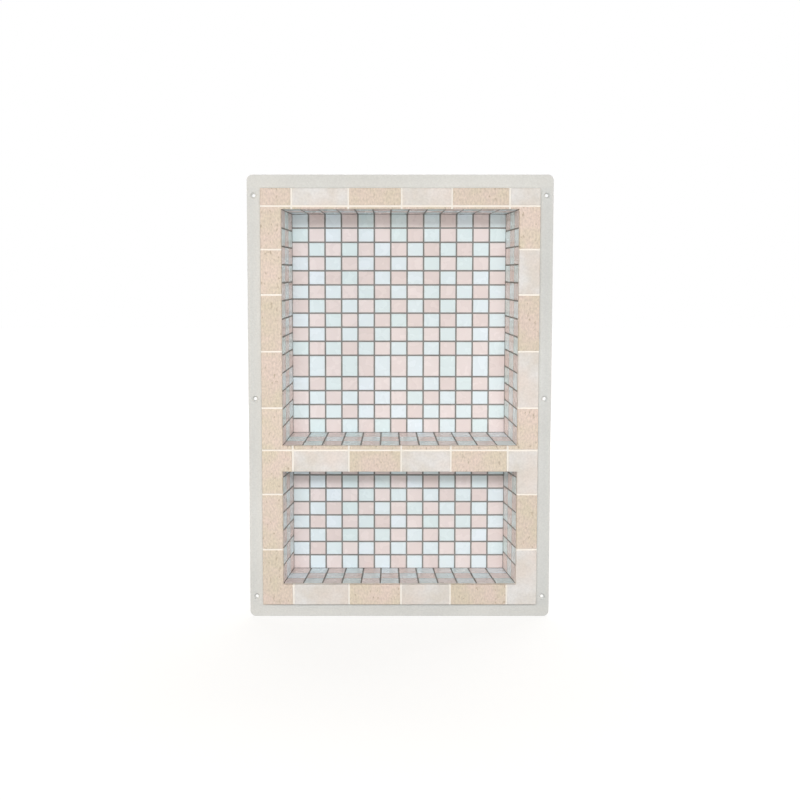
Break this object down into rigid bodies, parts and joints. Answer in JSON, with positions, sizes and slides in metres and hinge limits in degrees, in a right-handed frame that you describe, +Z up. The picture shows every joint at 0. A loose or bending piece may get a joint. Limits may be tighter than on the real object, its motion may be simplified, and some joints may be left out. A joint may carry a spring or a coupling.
{
  "type": "shower niche insert",
  "caption": "Recessed two-compartment shower niche insert: moulded flanged shell with sloped shelves, mosaic-lined inside, tiled face and a screw fin.",
  "frame": {"origin": "centre of the screw pattern in the fin, on the back of the flange", "axes": "+Z up, -Y out of the open face towards the room, +X to the right as seen from the room"},
  "size_m": [0.4446, 0.0995, 0.6516],
  "materials": {
    "moulded_shell": "moulded, fine matt grain",
    "mosaic_grout": "cement grout",
    "pink_glaze": "satin glaze",
    "aqua_glaze": "satin glaze",
    "face_grout": "cement grout",
    "beige_tile": "matt, stone look",
    "grey_tile": "matt, stone look"
  },
  "bodies": {
    "root": {"niche_shell": "moulded_shell", "upper_mortar_bed": "mosaic_grout", "lower_mortar_bed": "mosaic_grout", "upper_back_pink_chips": "pink_glaze", "upper_back_aqua_chips": "aqua_glaze", "upper_left_pink_chips": "pink_glaze", "upper_left_aqua_chips": "aqua_glaze", "upper_right_pink_chips": "pink_glaze", "upper_right_aqua_chips": "aqua_glaze", "upper_shelf_pink_chips": "pink_glaze", "upper_shelf_aqua_chips": "aqua_glaze", "upper_ceiling_pink_chips": "pink_glaze", "upper_ceiling_aqua_chips": "aqua_glaze", "lower_back_pink_chips": "pink_glaze", "lower_back_aqua_chips": "aqua_glaze", "lower_left_pink_chips": "pink_glaze", "lower_left_aqua_chips": "aqua_glaze", "lower_right_pink_chips": "pink_glaze", "lower_right_aqua_chips": "aqua_glaze", "lower_shelf_pink_chips": "pink_glaze", "lower_shelf_aqua_chips": "aqua_glaze", "lower_ceiling_pink_chips": "pink_glaze", "lower_ceiling_aqua_chips": "aqua_glaze", "face_grout": "face_grout", "face_tiles_beige": "beige_tile", "face_tiles_grey": "grey_tile"}
  },
  "joints": []
}
